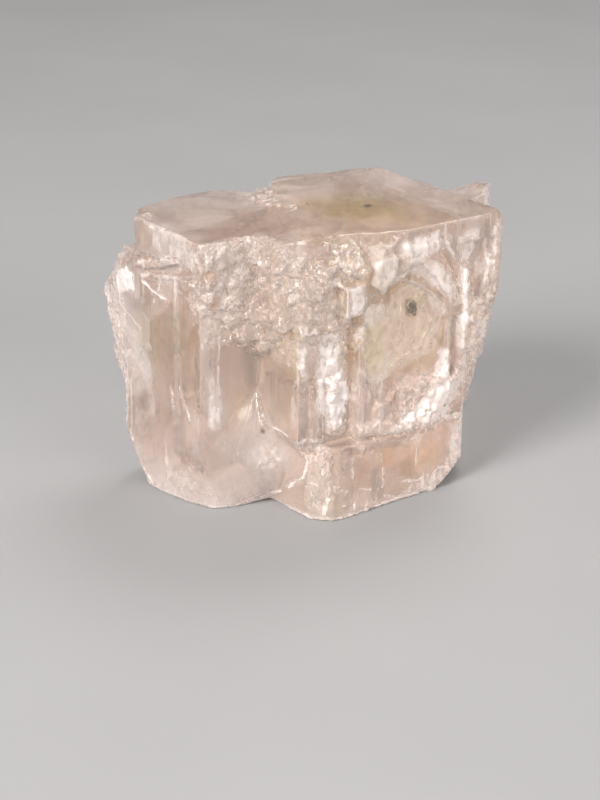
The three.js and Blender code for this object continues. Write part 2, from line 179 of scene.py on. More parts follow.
def remeshed(mesh, name):
    """One closed even net over everything in the mesh."""
    rough = bpy.data.objects.new(name + "_rough", mesh)
    bpy.context.scene.collection.objects.link(rough)
    net = rough.modifiers.new("net", "REMESH")
    net.mode, net.voxel_size, net.adaptivity = "VOXEL", VOXEL, 0
    graph = bpy.context.evaluated_depsgraph_get()
    made = bpy.data.meshes.new_from_object(rough.evaluated_get(graph), depsgraph=graph)
    bpy.data.objects.remove(rough)
    made.name = name
    return made


def thinned(mesh):
    """The same net with no more triangles than one piece may have."""
    triangles = sum(len(face.vertices) - 2 for face in mesh.polygons)
    full = bpy.data.objects.new("full", mesh)
    bpy.context.scene.collection.objects.link(full)
    full.modifiers.new("thin", "DECIMATE").ratio = min(1, MOST_TRIANGLES / triangles)
    graph = bpy.context.evaluated_depsgraph_get()
    made = bpy.data.meshes.new_from_object(full.evaluated_get(graph), depsgraph=graph)
    bpy.data.objects.remove(full)
    made.name = mesh.name
    return made


def vectors(mesh, kind):
    """The points' places ("co") or normals, a row for each."""
    out = np.zeros(len(mesh.vertices) * 3, np.float32)
    if kind == "co":
        mesh.vertices.foreach_get("co", out)
    else:
        mesh.vertex_normals.foreach_get("vector", out)
    return out.reshape(-1, 3).astype(float)


def edge_ends(mesh):
    ends = np.zeros(len(mesh.edges) * 2, np.int32)
    mesh.edges.foreach_get("vertices", ends)
    return ends.reshape(-1, 2)


def eased(mesh, p, where, rounds):
    """Points moved towards their neighbours' middle, as much as where says."""
    ends = edge_ends(mesh)
    for _ in range(rounds):
        total, count = np.zeros_like(p), np.zeros(len(p))
        for a, b in ((0, 1), (1, 0)):
            for k in range(3):
                total[:, k] += np.bincount(ends[:, a], p[ends[:, b], k], len(p))
            count += np.bincount(ends[:, a], minlength=len(p))
        p = p + where[:, None] * (total / count[:, None] - p)
    return p


def bulge(mesh, p, n):
    """How far each point stands out of its neighbours' middle: above 0 on an edge, below in a groove."""
    return ((p - eased(mesh, p, np.ones(len(p)), 1)) * n).sum(axis=1)


# ---- Where things lie on the crystals, all in mm -------------------------------------------------------
# Colours, each as the surface tints what comes through it.
PINK = (0.92, 0.815, 0.765)
WHITE = (0.905, 0.838, 0.812)
OLIVE = (0.73, 0.68, 0.54)
YELLOW = (0.96, 0.865, 0.75)
STRAW = (0.93, 0.85, 0.62)
GREY = (0.73, 0.68, 0.61)
ORANGE = (0.93, 0.72, 0.54)
BROWN = (0.82, 0.69, 0.62)
BEIGE = (0.88, 0.8, 0.7)
CRUST = (0.93, 0.86, 0.79)
RUST = (0.66, 0.42, 0.26)
UMBER = (0.66, 0.55, 0.4)
# A dark grey: painted shade in the sunk triangle, beside the hanging crust and under the bright facet, and
# also laid in patches on the foot.
SHADE_AND_DARK_GREY = (0.52, 0.48, 0.45)
PINK_CRACK = (0.88, 0.62, 0.58)
SPECK = (0.12, 0.08, 0.07)
TOP_YELLOW = (0.76, 0.67, 0.42)

# Where the crystals are crusted or broken: low corner, high corner.
CRUSTED = [
    ((-29, -6, 36), (-15, -2.5, 57)),
    ((-30, -2.5, 41), (-27.5, 0.5, 54)),
    ((-18.5, -17, 33), (-15, -3, 57)),
    ((-17, -19.5, 39), (-7.5, -16, 57)),
    ((-7.5, -19.5, 50), (-2.5, -16, 57)),
    ((-8.4, -18.5, 17.4), (-3.6, -16.2, 38.6)),
]
BROKEN = [
    ((24, -21, 18), (33.6, -13, 40)),
    ((-32, 25, 10), (-24, 36, 50)),
    ((8, -20.5, 15), (25, -18.4, 25)),
    ((-12.5, -18, 0), (-9, -15, 16)),
]
# Places with no sharp step: the swollen foot of the left crystal, and where the two top faces meet.
SMOOTHED = [
    ((-28, -14, 1), (-13, -1, 22)),
    ((-10.5, -12, 56), (-2, 8, 59)),
]
# Where fine upright ribs run.
RIBBED = [
    ((-11, -20.5, 0), (4, -17, 14)),
    ((-2, -19.5, 17), (8, -17, 27)),
    ((12, -19.5, 0), (27, -15, 6)),
]

# The faces that carry lines and plates: the way a face's points run (0 for x, 1 for y), and the box round
# it, which keeps clear of the walls beside it. A point on a face is (x or y, z).
FACES = {
    "left": (1, (-34, -4, 0), (-25, 37, 58)),
    "left front": (0, (-30, -5, 0), (-16, -1, 58)),
    "middle side": (1, (-17, -17, 14), (-14.5, -3, 42)),
    "middle front": (0, (-16, -18.6, 16), (-2.6, -15.5, 42)),
    "right front": (0, (-3, -21.5, 14), (34, -13, 58)),
    "foot": (0, (-11.5, -20.5, 0), (31, -8, 15)),
    "foot side": (1, (-14, -20, 0), (-11, -3, 16)),
    "chip": (0, (-9.5, -21.5, 41.5), (-2.5, -19, 50)),
}

# White lines along cracks, steps and edges, for each face: width, whiteness, points. In part they are
# frosted cracks, and in part painted highlights along the steps and edges.
STROKES = {
    "right front": [
        (0.7, 0.8, [(-2.5, 35), (-2.5, 41.5), (3, 44.5), (6, 48.5), (10, 49.5)]),  # the pane's upper rim
        (0.4, 0.4, [(-2, 31), (1, 27.5), (4, 28.5), (7, 31), (13, 33), (15.5, 38)]),  # its lower rim
        (3.0, 0.4, [(1, 53), (8, 54.5), (17.5, 54)]),  # the band over the pane
        (1.8, 0.5, [(7, 50.5), (12, 50.5), (16, 48.5), (21, 41)]),  # the slanting ridge
        (0.5, 0.8, [(17.5, 54), (20, 50.5), (22.5, 47), (23, 43)]),  # beside the sunk triangle
        (0.5, 0.7, [(25.5, 47.5), (23, 43), (23, 31)]),
        (0.5, 0.7, [(29, 54), (30, 49), (29.5, 39)]),
        (0.5, 0.6, [(31, 57), (31.5, 37.5)]),
        (1.2, 0.8, [(19.5, 30), (18.5, 23.5)]),  # a painted upright glint
        (1.5, 0.8, [(17.5, 21.5), (22, 20.5)]),  # a chip
        (1.5, 0.6, [(6, 16.5), (12, 19.5), (17.5, 23)]),  # the rough edge under the pane
        (0.4, 0.6, [(-2.5, 16.5), (17, 16.5), (29, 13.5)]),  # the lip over the foot
        (2.2, 0.5, [(25.5, 36), (28.5, 29), (28, 22)]),  # the broken flank
    ],
    "middle side": [
        (0.5, 0.9, [(-5, 22), (-6.5, 19), (-9, 18.5), (-15, 17.5)]),  # the middle block's lower edge
    ],
    "middle front": [
        (0.4, 0.8, [(-15.5, 17.5), (-13.5, 18), (-8.5, 17)]),
        (0.3, 0.6, [(-11, 28), (-11, 19.5)]),  # growth lines
        (0.3, 0.5, [(-12.7, 28.5), (-12.7, 19)]),
        (0.8, 0.8, [(-14.4, 36.5), (-14.4, 32)]),  # a frosted strip
        (0.4, 0.9, [(-15.5, 30), (-14.5, 28.5)]),  # a painted glint
    ],
    "left front": [
        (0.8, 0.5, [(-26.4, 28.5), (-26, 24), (-26.2, 19.5)]),  # the frosted streak
        (0.3, 0.5, [(-24.6, 36), (-24.8, 20)]),
    ],
    "left": [
        (0.4, 0.6, [(21, 56.5), (9, 55.5), (-2, 53)]),  # the ridge below the top band
        (0.4, 1.0, [(17.5, 44), (14.5, 43), (9.5, 42.5)]),  # the bright scar
        (0.5, 0.7, [(19, 47.5), (9, 51), (6.5, 52)]),  # the scar's ridges
        (0.4, 0.4, [(17.5, 46.5), (10, 46.5), (0, 44)]),
        (0.5, 0.5, [(18.5, 45), (8, 47.5), (-1.5, 48.5)]),
        (0.3, 0.5, [(27.5, 37), (20, 34.5), (15, 30), (12.5, 24.5)]),  # the edge of the smooth window
        # the left rim
        (0.6, 0.8, [(34, 38), (30.5, 29), (25, 19.5), (25.5, 12.5), (18.5, 3), (14.5, 0.5)]),
        (0.6, 0.8, [(7.5, 24.5), (7, 21)]),  # frosted streaks
        (0.5, 0.7, [(4.5, 25.5), (3, 22.5), (1, 19.5)]),
    ],
    "foot": [
        (0.4, 0.8, [(-10, 13.5), (-9.7, 10), (-8.5, 6), (-9.5, 1)]),  # a fracture down the foot
        (0.3, 0.7, [(-11.5, 7.7), (-8.5, 6.5), (5, 4)]),  # a crack along it
        (0.35, 0.5, [(-4, 13.8), (-3.8, 5), (-3, 1)]),
        (0.3, 0.5, [(3.5, 14), (4.5, 8), (4.5, 2.5), (9, 0.6)]),
        (0.3, 0.6, [(9, 4.3), (14, 3.2), (19.5, 4.6), (24, 3.4)]),
        *[(0.25, 0.5, [(-8.4, z), (-3.8, z + 0.5)]) for z in (2.4, 4.8, 7.2, 9.8, 12.2)],  # small steps
        (0.6, 0.9, [(-11.5, 0.2), (28.5, 0.5)]),  # the rims
        (0.6, 0.5, [(29.5, 13), (29.3, 2)]),
    ],
    "foot side": [
        (0.4, 0.9, [(-13.5, 14.5), (-15, 12.3), (-14, 8.7), (-10.3, 5.4), (-6, 2.5)]),
    ],
}

# Plates, panes, slots, frosted strips and patches of painted shade, each with its own edge, for each face:
# colour, how much of it, frost (on the bright facet a painted highlight), height, rim, corners. A rim above
# 0 is a white line, and one below 0 a groove with painted shade along it.
PLATES = {
    "right front": [
        # the yellowish pane
        (YELLOW, 0.8, 0.36, 0, -0.3, [
            (-2.5, 42), (-2.5, 34.5), (1, 26.5), (4.5, 26.5), (7.5, 28.5), (13.5, 29.5), (17.5, 36),
            (13.5, 45.5), (10, 48), (7, 46.5), (4.5, 43.5), (-0.5, 44.5),
        ]),
        (WHITE, 0.4, 0.5, 0, 0, [(-1, 43.5), (3.5, 44), (4, 40.5), (0.5, 38.5), (-2, 40)]),  # its haze
        (STRAW, 0.8, 0.15, 0, 0, [(-2.3, 38.5), (3, 39), (4, 33), (1.5, 28), (-1.5, 33)]),
        (PINK, 0.6, 0.4, 0, 0, [(12.5, 30), (18, 29), (20, 40), (13, 47), (16, 37)]),  # its pale side
        (UMBER, 0.9, 0, -0.3, -0.4, [(-4.2, 42), (-3.2, 42), (-2.8, 30.5), (-3.6, 30.5)]),  # the slot, with painted shade where its narrow face lies in shadow
        (WHITE, 0.5, 0.5, 0.1, -0.4, [(19.5, 54.5), (27, 55.5), (27.5, 50), (24.5, 47), (22.5, 50.5)]),
        # painted shade in the narrow strip of the sunk triangle, with a darkened groove round it
        (SHADE_AND_DARK_GREY, 0.9, 0.05, -0.1, -0.8, [
            (27.5, 55.5), (30.5, 54.5), (28, 49), (26, 42), (25, 42), (26.5, 49),
        ]),
        (GREY, 0.8, 0.1, -0.1, -0.5, [(20, 41), (21.5, 40), (22.5, 29.5), (21, 29.5)]),
        (WHITE, 0.9, 0.65, 0.25, -0.8, [
            (-0.5, 53), (5.5, 53.5), (5.5, 51), (4.5, 45.5), (3, 45), (-1.5, 48.5),
        ]),
        (WHITE, 0.9, 0.7, 0.1, 0.4, [(6.5, 55), (16, 56.5), (16.5, 52.5), (8.5, 50)]),
        (WHITE, 0.8, 0.7, 0.1, 0.4, [
            (8.5, 50), (15, 50), (20.5, 45), (21, 40.5), (17.5, 43), (13, 46.5),
        ]),
        (WHITE, 0.9, 0.75, 0.1, 0.4, [(21.5, 46), (24, 49.5), (24.5, 30), (23, 30)]),
        (WHITE, 0.7, 0.8, 0, 0, [(18, 31), (21, 31), (21.5, 22), (17.5, 23)]),
        (WHITE, 0.9, 0.9, 0.1, 0, [(8, 18), (17, 24.5), (24, 20), (24.5, 15.5), (9.5, 16)]),
        (BROWN, 0.8, 0, -0.1, -0.3, [(4.5, 27), (8, 27.5), (7.5, 22), (4, 19)]),
        (GREY, 0.6, 0.2, 0, 0, [(8.5, 27), (11.5, 28), (9, 22), (8, 18)]),
        (WHITE, 0.7, 0.7, 0, 0, [(23.5, 30), (27, 28), (27, 17), (23.5, 17)]),  # the white flank
        (UMBER, 0.3, 0.2, 0, -0.2, [(28.5, 43), (30.5, 42), (31.5, 35), (28, 36)]),
    ],
    "chip": [
        (WHITE, 1.0, 0.8, 0, -0.3, [(-6.8, 49), (-2.8, 49), (-2.4, 45), (-3.2, 42), (-6.6, 41.5)]),
    ],
    "middle front": [
        # the sparkling panel
        (WHITE, 1.0, 0.92, 0.1, 0.3, [
            (-10.5, 40), (-6.5, 39), (-5.5, 30), (-2.8, 27.5), (-2.8, 24), (-5.5, 18.5), (-8.7, 19),
            (-11, 24), (-11.5, 32),
        ]),
        (WHITE, 0.9, 0.8, 0.1, 0.2, [(-15, 36.5), (-13.8, 36.5), (-13.7, 31.5), (-15.5, 33)]),
        (UMBER, 0.7, 0, -0.1, 0, [(-13.5, 29.5), (-11.5, 33), (-11.6, 28.5)]),
        (BROWN, 0.6, 0.05, -0.1, -0.4, [(-13.3, 28.5), (-11.4, 28.5), (-11.4, 19), (-13.3, 19)]),
        (BEIGE, 0.6, 0.15, 0, 0, [(-5.5, 39), (-3, 41), (-2.8, 28), (-5, 30)]),
    ],
    "left front": [
        # painted shade beside the hanging crust
        (SHADE_AND_DARK_GREY, 0.8, 0, 0, 0, [(-19.5, 35), (-15.5, 35), (-15.5, 25), (-18, 26)]),
        (WHITE, 0.5, 0.5, 0, 0, [(-27.3, 31), (-25.5, 30), (-23.3, 24), (-24, 18), (-27, 18)]),
    ],
    "foot": [
        (SHADE_AND_DARK_GREY, 0.6, 0.1, 0, -0.6, [(-9.5, 14), (-4, 14.5), (-4, 10), (-8, 10)]),
        (GREY, 0.9, 0.1, 0, -0.6, [(-8, 9.7), (-4.4, 9.7), (-3.6, 2), (-7.2, 2)]),
        (BROWN, 1.0, 0, 0, -0.3, [(-4, 13.5), (2, 12), (0.7, 4.5), (-3.7, 5.3)]),
        (SHADE_AND_DARK_GREY, 0.9, 0.12, 0, 0, [(0.5, 9), (4, 9.5), (5, 1.5), (0.5, 2)]),
        (ORANGE, 1.0, 0, 0, -0.2, [(3.5, 13.2), (8, 12), (8, 7), (4, 8)]),
        (ORANGE, 0.7, 0.1, 0, -0.2, [(14, 10), (20, 10.6), (19.5, 5), (13, 4.4)]),
        (WHITE, 0.5, 0.35, 0, 0, [(8.5, 13.8), (17, 13.8), (15, 11.8), (10, 12)]),
        (UMBER, 0.8, 0, 0, -0.3, [(9, 8.5), (13, 9.5), (12.5, 5), (9, 4.8)]),
        (SHADE_AND_DARK_GREY, 0.8, 0, 0, 0, [(16.7, 12), (21.7, 13.6), (21.5, 12)]),
        (WHITE, 0.8, 0.6, 0, 0, [(21.6, 14), (28, 14), (30, 3), (22, 4)]),
        (WHITE, 0.6, 0.45, 0, 0, [(7, 1), (13, 3.4), (20, 4.6), (27, 3.2), (25, 0.3)]),
        (PINK_CRACK, 0.9, 0.2, 0.1, 0.5, [(-6, 16.4), (-3.5, 16.8), (2.5, 15), (-0.5, 14.5), (-6, 15.4)]),
    ],
    "left": [
        # the bright facet, whitened as a painted highlight where it mirrors the light
        (WHITE, 1.0, 2.2, 0.1, 0.6, [(28, 43), (23, 45.5), (20.5, 44.5), (20.5, 41.3), (28, 39)]),
        (SHADE_AND_DARK_GREY, 0.8, 0, 0, 0, [(22.5, 40), (13, 40.5), (14, 37.5), (21.5, 37)]),  # the shade under it
        (OLIVE, 0.9, 0, 0, 0, [(17, 37.5), (8, 39.5), (-1, 39), (1, 30), (10, 26.5), (15.5, 31)]),
        # the dark corner line
        (UMBER, 1.0, 0, -0.1, -0.6, [(-0.9, 42), (-1.7, 42), (-1.7, 21), (-0.9, 21)]),
        (UMBER, 0.5, 0, 0, 0, [(3, 36), (-1, 40), (-1, 35), (1.7, 33.5)]),
        (WHITE, 0.3, 0.3, 0, 0, [(28, 26), (19, 30), (13, 26.5), (19.5, 18), (27, 17)]),
        (GREY, 0.7, 0, 0, 0, [(3.6, 25.5), (1, 26), (1, 22), (3.6, 21)]),
    ],
}

# Patches of colour with no edge: colour, middle, radii, strength.
TINTS = [
    (BROWN, (-18, 4, 57), (13, 11, 5), 0.7),  # the glassy front of the left top face
    (WHITE, (-12.7, 21, 57), (16, 7, 5), 0.6),  # the hazy back of it
    (TOP_YELLOW, (9, -1, 57.6), (16, 13, 6), 1.0),  # the top face over the yellow zone
    (BROWN, (25, -9, 57.6), (14, 14, 6), 0.5),
    (OLIVE, (-28.7, 12, 33), (3, 12, 10), 0.6),
    (BROWN, (-22, -3, 34), (6, 4, 6), 0.6),
    # painted shade beside the hanging crust, in the corner by the middle block
    (GREY, (-17.2, -3, 31), (3, 4, 8), 0.8),
    (ORANGE, (-20, -3, 22), (5, 4, 8), 0.5),
    (GREY, (-15.5, -9, 28), (3, 9, 14), 0.9),
    (ORANGE, (14, -18.9, 8.6), (9, 4, 5), 0.4),
    (GREY, (-9, -17, 5), (7, 7, 10), 0.9),  # the ribbed corner of the foot
    (WHITE, (-17, -8, 10), (9, 6, 6), 0.5),
    (WHITE, (-23, 0, 1), (20, 30, 12), 0.8),
    (RUST, (-28.1, -4.1, 50.6), (1.8, 1.8, 2.2), 0.8),  # tan stains
    (RUST, (-26.5, -3.7, 45), (1.6, 1.6, 2), 0.9),
    (RUST, (31.2, -19.4, 56.8), (1.2, 1.2, 1.4), 0.7),
    (SPECK, (-15.5, -8, 28.8), (0.6, 0.6, 0.5), 1.0),  # dark specks
    (SPECK, (-16.8, -6.9, 17.3), (0.6, 0.6, 0.7), 0.9),
]

# Patches of frost: middle, radii, strength.
FROSTS = [
    ((-17, -8, 12), (6, 6, 5), 0.5),
    ((-18, -7, 9), (12, 12, 14), 0.15),
    ((26, -19, 44), (9, 4, 14), 0.4),
    ((21, -18, 21), (12, 6, 8), 0.8),
    ((-24, -3, 6), (8, 6, 6), 0.24),
    ((-12.7, 22, 57), (18, 8, 4), 0.15),
    ((-28.7, 10, 10), (3, 12, 9), 0.18),
    ((-28.7, 6, 54), (3, 16, 6), 0.45),
    ((28, -18, 32), (7, 5, 13), 0.7),
    ((31, -19, 50), (3, 3, 11), 0.6),
    ((14, -19, 24), (8, 3, 7), 0.35),
]

# The swollen foot of the left crystal, dull but not white: middle, radii.
MILKY = ((-18.5, -7, 12), (14, 13, 20))

# Places where the surface stays clear: middle, radii.
CLEARINGS = [
    ((10, -2, 57), (15, 13, 5)),
    ((10.5, -18.5, 41), (3, 3, 3)),
    ((-18, 4, 57), (13, 10, 4)),
    ((-28.7, 9, 34), (3, 13, 11)),
    ((-20, -3, 31), (8, 3, 9)),
]


# ---- How much of each there is at a point --------------------------------------------------------------
def surface_masks(p, n):
    """How crusted, broken and flat each point of the surface is."""
    crust = np.max([inside(p, low, high, 1.6) for low, high in CRUSTED], axis=0)
    broken = np.max([inside(p, low, high, 1.5) for low, high in BROKEN], axis=0)
    flat = ramp(np.abs(n).max(axis=1), 0.95, 0.995)
    return crust, broken, flat


def places(p):
    """For each face: how much each point belongs to it, and where it lies there, with a little wobble."""
    wobble = 0.8 * (np.stack([fractal(p, 2.2, 101 + k, 2) for k in range(2)], -1) - 0.5)
    return {
        face: (inside(p, low, high, 0.5), p[:, [way, 2]] + wobble)
        for face, (way, low, high) in FACES.items()
    }


def line_gap(at, start, end):
    run = end - start
    t = np.clip(((at - start) @ run) / (run @ run), 0, 1)
    return np.linalg.norm(at - (start + t[:, None] * run), axis=1)


def outline_gap(at, corners):
    """The distance to a closed outline, below 0 inside it."""
    corners = np.array(corners, float)
    gap, within = np.full(len(at), np.inf), np.zeros(len(at), bool)
    for start, end in zip(corners, np.roll(corners, -1, axis=0)):
        gap = np.minimum(gap, line_gap(at, start, end))
        if start[1] != end[1]:
            crossing = start[0] + (at[:, 1] - start[1]) * (end[0] - start[0]) / (end[1] - start[1])
            within ^= ((start[1] > at[:, 1]) != (end[1] > at[:, 1])) & (at[:, 0] < crossing)
    return np.where(within, -gap, gap)


def plates(p):
    """For each plate: what it is like, and how far each point is on it and in its rim."""
    faces = places(p)
    for face, rows in PLATES.items():
        here, at = faces[face]
        near = here > 0
        for *settings, corners in rows:
            gap = np.full(len(p), 9.0)
            gap[near] = outline_gap(at[near], corners)
            yield settings, here * (1 - ramp(gap, -1.1, 0.4)), here * (1 - ramp(np.abs(gap), 0.1, 0.45))


def smoothed(p, soft):
    """1 where there is no sharp step, falling to 0 over soft mm."""
    return np.max([inside(p, low, high, soft) for low, high in SMOOTHED], axis=0)


def stroke(p):
    """How much each point is whitened by the lines."""
    best = np.zeros(len(p))
    faces = places(p)
    for face, rows in STROKES.items():
        here, at = faces[face]
        for width, strength, along in rows:
            for start, end in zip(np.array(along[:-1], float), np.array(along[1:], float)):
                off = ramp(line_gap(at, start, end), 0.4 * width, width + 0.15)
                best = np.maximum(best, strength * here * (1 - off))
    return best


def ribs(p):
    """Upright streaks, on the ribbed faces, from 0 to 1."""
    where = np.max([inside(p, low, high, 1) for low, high in RIBBED], axis=0)
    streaks = rolling(p, (0.8, 0.8, 9), 71) * (0.6 + 0.8 * rolling(p, (3, 3, 3), 72))
    return where * ramp(streaks, 0.48, 0.62)


def mottled(p):
    """A mosaic of duller and whiter flecks, which breaks up the frost."""
    return 0.45 + 0.65 * ramp(facets(p, (1.1, 1.1, 1.5), 85, 0.8), -0.35, 0.25)


# ---- Fine relief ---------------------------------------------------------------------------------------
def grain(p):
    return fractal(p, 1.6, 41) - 0.5


def crust_relief(p):
    """Pits of two sizes, roughened."""
    return 0.24 * facets(p, 1.7, 31, 1.0) + 0.13 * facets(p, 0.9, 36, 1.0) + 0.2 * grain(p)


def growth_relief(p, n):
    """Low terraces with rounded outlines, and upright growth lines on the side faces."""
    side = 1 - ramp(np.abs(n[:, 2]), 0.5, 0.9)
    steps = 3.2 * rolling(p, (9, 9, 14), 61) + 0.7 * rolling(p, (2.6, 2.6, 7), 62)
    terraces = np.round(steps) / 3.2 - 0.6
    return 0.13 * terraces + 0.05 * (rolling(p, (1.1, 1.1, 30), 63) - 0.5) * side


def plate_relief(p):
    """How far the plates stand out, and how much each point is on one."""
    on_plate, raised, shiver = np.zeros(len(p)), np.zeros(len(p)), facets(p, 0.8, 66, 1.0)
    for (_, _, frost_and_glint, height, rim), on, border in plates(p):
        on_plate = np.maximum(on_plate, on)
        raised += height * on + 0.11 * frost_and_glint * on * shiver - 0.15 * max(-rim, 0) * border
    return raised, on_plate


def line_relief(p, n):
    """Scarred lines and upright ribs."""
    lines = stroke(p)
    side = 1 - ramp(np.abs(n[:, 2]), 0.5, 0.9)
    return 0.12 * lines * facets(p, 0.9, 65, 1.0) + 0.12 * lines + 0.28 * ribs(p) * side


def relief(p, n):
    """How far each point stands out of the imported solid, in mm."""
    crust, broken, flat = surface_masks(p, n)
    plain = (1 - crust) * (1 - broken)
    shards = 0.5 * facets(p, (2, 2, 5), 51, 1.2) + 0.4 * facets(p, (1, 1, 2.4), 56, 1)
    raised, on_plate = plate_relief(p)
    out = crust * (1 - 0.7 * on_plate) * crust_relief(p)
    out += broken * (1 - crust) * (0.5 * shards + 0.15 * grain(p))
    out += flat * plain * growth_relief(p, n)
    out += (1 - flat) * plain * (0.2 * shards + 0.1 * grain(p)) * (1 - smoothed(p, 1))
    return out + line_relief(p, n) + raised


# ---- Looks carried by the points -----------------------------------------------------------------------
def store(mesh, name, values):
    """Keeps a number from 0 to 1 at each point, for the materials to read."""
    layer = mesh.attributes.new(name, "FLOAT", "POINT")
    layer.data.foreach_set("value", np.clip(values, 0, 1).astype(np.float32))


def store_colour(mesh, name, values):
    layer = mesh.attributes.new(name, "FLOAT_COLOR", "POINT")
    rgba = np.concatenate([values, np.ones((len(values), 1))], axis=1)
    layer.data.foreach_set("color", rgba.astype(np.float32).ravel())


def base_frost(p, n, crust, broken, flat, mottle):
    """How white and rough each point is, before the lines and plates."""
    side = 1 - ramp(np.abs(n[:, 2]), 0.3, 0.7)
    turned_away = ramp(np.maximum(n[:, 0], n[:, 1]), 0.3, 0.7)
    veil = ramp(fractal(p, (9, 9, 12), 92), 0.35, 0.6)
    haze = ramp(0.6 * fractal(p, (16, 16, 10), 83) + 0.4 * fractal(p, (3, 3, 6), 84), 0.4, 0.75)
    streaks = side * ramp(rolling(p, (0.7, 0.7, 8), 86), 0.6, 0.85)
    streaks *= ramp(fractal(p, (6, 6, 9), 87), 0.45, 0.65) * (1 - smoothed(p, 2.5))
    foot = (1 - ramp(p[:, 2], 3, 14)) * (1 - ramp(p[:, 0], -16, -11))
    return np.maximum.reduce(
        [
            0.18 * crust,
            0.35 * broken,
            0.1 * (1 - flat),
            mottle * np.max([k * blob(p, at, radii) for at, radii, k in FROSTS], axis=0),
            turned_away * (0.5 + 0.45 * veil),
            0.3 * haze,
            0.5 * streaks,
            0.35 * foot,
            0.7 * (1 - ramp(p[:, 2], 0.4, 1.1)),  # the cut base's rim
        ]
    )


def blended(tone, colour, share):
    """The tone with this share of a colour mixed in."""
    return tone * (1 - share[:, None]) + np.array(colour) * share[:, None]


def base_tone(p, crust):
    """The tone of each point, before the plates."""
    tone = blended(np.array(PINK), CRUST, 0.5 * crust)
    wobble = np.stack([fractal(p, 7, 90 + k, 2) for k in range(3)], -1) - 0.5
    for colour, at, radii, k in TINTS:
        tone = blended(tone, colour, k * blob(p + min(6, min(radii)) * wobble, at, radii))
    return tone


def plated(p, frost_and_glint, tone, mottle, clearing):
    """The frost and the tone with the plates laid over them, one by one: the painted highlight on the
    bright facet, and painted shade in some plates and along the grooves.
    """
    for (colour, share, whiteness, _, rim), on, border in plates(p):
        # Painted shade: a rim below 0 darkens the tone along the plate's border, as a shaded groove.
        tone = blended(tone, colour, share * on) * (1 - 0.3 * max(-rim, 0) * border)[:, None]
        white = whiteness * (1 + min(whiteness, 1) * (mottle - 1)) * (1 - 0.7 * clearing)
        frost_and_glint = np.maximum(frost_and_glint * (1 - 0.5 * on) + white * on, max(rim, 0) * border * mottle)
    return frost_and_glint, tone


def clouded(p, tone, clearing):
    """The tone, a little lighter and darker from place to place, most in blue."""
    cloud = 0.5 * fractal(p, (5, 5, 7), 88) + 0.5 * fractal(p, (1.2, 1.2, 2), 89) - 0.5
    return tone * (1 + (cloud * (1 - 0.6 * clearing))[:, None] * np.array([0.35, 0.42, 0.5]))


def paint(mesh, p, n):
    """Stores each point's frost with its painted glints (white and rough), crust, milk (dull, not white)
    and tone, which carries painted shade.
    """
    crust, broken, flat = surface_masks(p, n)
    stands = bulge(mesh, p, n)
    edge, groove = ramp(stands, 0.02, 0.08), ramp(-stands, 0.01, 0.06)
    mottle = mottled(p)
    clearing = np.max([blob(p, at, radii) for at, radii in CLEARINGS], axis=0)
    frost_and_glint = base_frost(p, n, crust, broken, flat, mottle) * (0.5 + fractal(p, 4, 81))
    frost_and_glint *= 1 - 0.85 * clearing
    lines = stroke(p) * ramp(fractal(p, 1.8, 82), 0.3, 0.6)
    under = ramp(-n[:, 2], 0.4, 0.8)
    frost_and_glint = np.maximum.reduce([frost_and_glint, 0.95 * under, lines, 0.25 * ribs(p)]) + 0.15 * edge
    frost_and_glint, tone = plated(p, frost_and_glint, base_tone(p, crust), mottle, clearing)
    milk = blob(p, *MILKY) * (1 - crust) * (0.1 + 0.9 * fractal(p, (3.5, 3.5, 5), 93, 4))
    # Painted shade: faces turned up are made up to 10 % darker, and grooves in the crust and broken places
    # up to 12 % darker; the milky foot is also made up to 25 % duller.
    shade = (1 - 0.25 * milk) * (1 - 0.1 * ramp(n[:, 2], 0.7, 0.95))
    shade *= 1 - 0.12 * groove * np.maximum(crust, broken)
    store(mesh, "frost_and_glint", frost_and_glint)
    store(mesh, "crust", np.maximum(crust, 0.6 * broken))
    store(mesh, "milk", milk)
    store_colour(mesh, "tone", np.clip(clouded(p, tone, clearing) * shade[:, None], 0, 0.98))


# ---- The pieces' meshes --------------------------------------------------------------------------------
def to_part(mesh):
    """From the crystals' frame in mm to the part's frame in metres."""
    mesh.transform(PLACE @ Matrix.Scale(MM, 4))


def packed_copy():
    """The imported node's mesh with the small cubes strewn on it, in the crystals' frame in mm."""
    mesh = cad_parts["fluorite_crystals"].data.copy()
    mesh.transform(Matrix.Scale(1 / MM, 4) @ PLACE.inverted())
    bm = bmesh.new()
    bm.from_mesh(mesh)
    strewn_cubes(bm)
    bm.to_mesh(mesh)
    bm.free()
    mesh.materials.clear()
    return mesh


def carve(mesh):
    """Rounds the smooth places and raises the fine relief. The flat base stays flat."""
    p, n = vectors(mesh, "co"), vectors(mesh, "normal")
    height = p[:, 2].copy()
    p = eased(mesh, p, 0.9 * smoothed(p, 2.5), EASING_ROUNDS)
    p[:, 2] = np.where(height < BASE_RIM, height, p[:, 2])
    p += n * relief(p, n)[:, None]
    p[:, 2] = np.maximum(p[:, 2], 0)
    mesh.vertices.foreach_set("co", p.astype(np.float32).ravel())
    mesh.update()


def fluorite_mesh():
    """The display piece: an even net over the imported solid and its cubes, carved, thinned and painted."""
    full = remeshed(packed_copy(), "fluorite")
    carve(full)
    made = thinned(full)
    made.polygons.foreach_set("use_smooth", [True] * len(made.polygons))
    paint(made, vectors(made, "co"), vectors(made, "normal"))
    to_part(made)
    return made


def lump_mesh(name, centre, radii, seed, rough=0.25, detail=5):
    """A closed uneven lump round a point inside the crystals."""
    bm = bmesh.new()
    bmesh.ops.create_icosphere(bm, subdivisions=detail, radius=1)
    mesh = bpy.data.meshes.new(name)
    bm.to_mesh(mesh)
    bm.free()
    p = vectors(mesh, "co")
    p *= (1 + rough * (2 * fractal(p, 0.9, seed) - 1))[:, None]
    p = p * np.array(radii) + np.array(centre)
    mesh.vertices.foreach_set("co", p.astype(np.float32).ravel())
    mesh.update()
    mesh.polygons.foreach_set("use_smooth", [True] * len(mesh.polygons))
    to_part(mesh)
    return mesh


